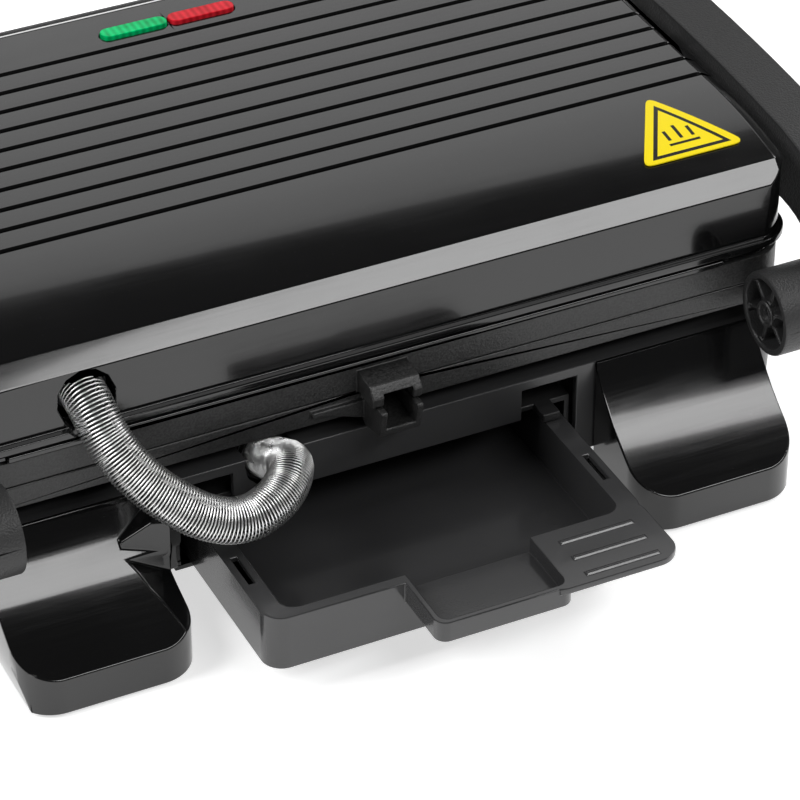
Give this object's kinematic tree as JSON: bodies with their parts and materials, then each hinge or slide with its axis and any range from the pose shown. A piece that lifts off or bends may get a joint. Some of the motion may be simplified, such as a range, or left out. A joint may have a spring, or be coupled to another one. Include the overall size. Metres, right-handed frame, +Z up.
{
  "type": "panini press",
  "caption": "Contact grill with a floating ribbed lid on two hinged arms, grooved plates, a rear drip tray and a steel spring conduit.",
  "frame": {"origin": "centre of the bounding box at rest, on the table under the feet", "axes": "+Z up, +Y toward the hinge, the spring conduit and the drip tray, -Y toward the handle, X along the hinge"},
  "size_m": [0.3452, 0.319, 0.1072],
  "materials": {
    "gloss_black": "polished black moulding",
    "matt_black": "fine matt moulding",
    "arm_grey": "fine spark-eroded texture",
    "non_stick": "sandy non-stick coating on die casting",
    "bright_steel": "bright drawn wire and fasteners",
    "sheet_steel": "bright sheet",
    "rubber": "matt",
    "ceramic": "unglazed",
    "circuit_board": "coated board",
    "green_lens": "clear tinted lens",
    "red_lens": "clear tinted lens",
    "label_yellow": "printed foil"
  },
  "bodies": {
    "lid": {"lid_shell": "gloss_black", "upper_plate": "non_stick", "upper_heater": "bright_steel", "lid_frame": "gloss_black", "upper_reflector": "sheet_steel", "lamp_window_green": "green_lens", "lamp_window_red": "red_lens", "lid_conduit_clip": "matt_black", "caution_label": "label_yellow", "upper_thermostat": "ceramic", "frame_screw_1": "bright_steel", "frame_screw_2": "bright_steel", "frame_screw_3": "bright_steel", "frame_screw_4": "bright_steel", "lamp_board": "circuit_board"},
    "base": {"base_housing": "gloss_black", "conduit_spring": "bright_steel", "rear_foot_left": "gloss_black", "lower_plate": "non_stick", "rear_foot_right": "gloss_black", "lower_heater": "bright_steel", "base_cover": "matt_black", "conduit_lead": "rubber", "lower_reflector": "sheet_steel", "cord_gland": "rubber", "base_conduit_clip": "matt_black", "rear_pad_left": "rubber", "rear_pad_right": "rubber", "front_foot_left": "matt_black", "front_foot_right": "matt_black", "front_pad_left": "rubber", "front_pad_right": "rubber", "lower_thermostat": "ceramic", "cover_screw_1": "bright_steel", "cover_screw_2": "bright_steel", "cover_screw_3": "bright_steel", "cover_screw_4": "bright_steel", "foot_screw_1_left": "bright_steel", "foot_screw_1_right": "bright_steel", "foot_screw_2_left": "bright_steel", "foot_screw_2_right": "bright_steel", "terminal_block": "ceramic", "thermal_fuse": "bright_steel", "hinge_pin_left": "bright_steel", "hinge_pin_right": "bright_steel"},
    "arms": {"arm_left": "arm_grey", "arm_right": "arm_grey", "handle_bar": "arm_grey", "float_pin_left": "bright_steel", "float_pin_right": "bright_steel", "handle_screw_left": "bright_steel", "handle_screw_right": "bright_steel", "hinge_cap_left": "arm_grey", "hinge_cap_right": "arm_grey"},
    "tray": {"drip_tray": "gloss_black"}
  },
  "joints": [
    {"name": "arm_lift", "type": "hinge", "parent": "base", "child": "arms", "pos_m": [0, 0.0935, 0.06], "axis": [-1, 0, 0], "range_deg": [0, 100], "deforming": ["conduit_spring", "conduit_lead"]},
    {"name": "lid_float", "type": "hinge", "parent": "arms", "child": "lid", "pos_m": [0, -0.0185, 0.088], "axis": [-1, 0, 0], "range_deg": [-10, 0]},
    {"name": "tray_slide", "type": "slide", "parent": "base", "child": "tray", "axis": [0, 1, 0], "range_m": [-0.045, 0.06]}
  ],
  "couplings": [
    {"joint": "lid_float", "follows": "arm_lift", "ratio": -0.1}
  ]
}
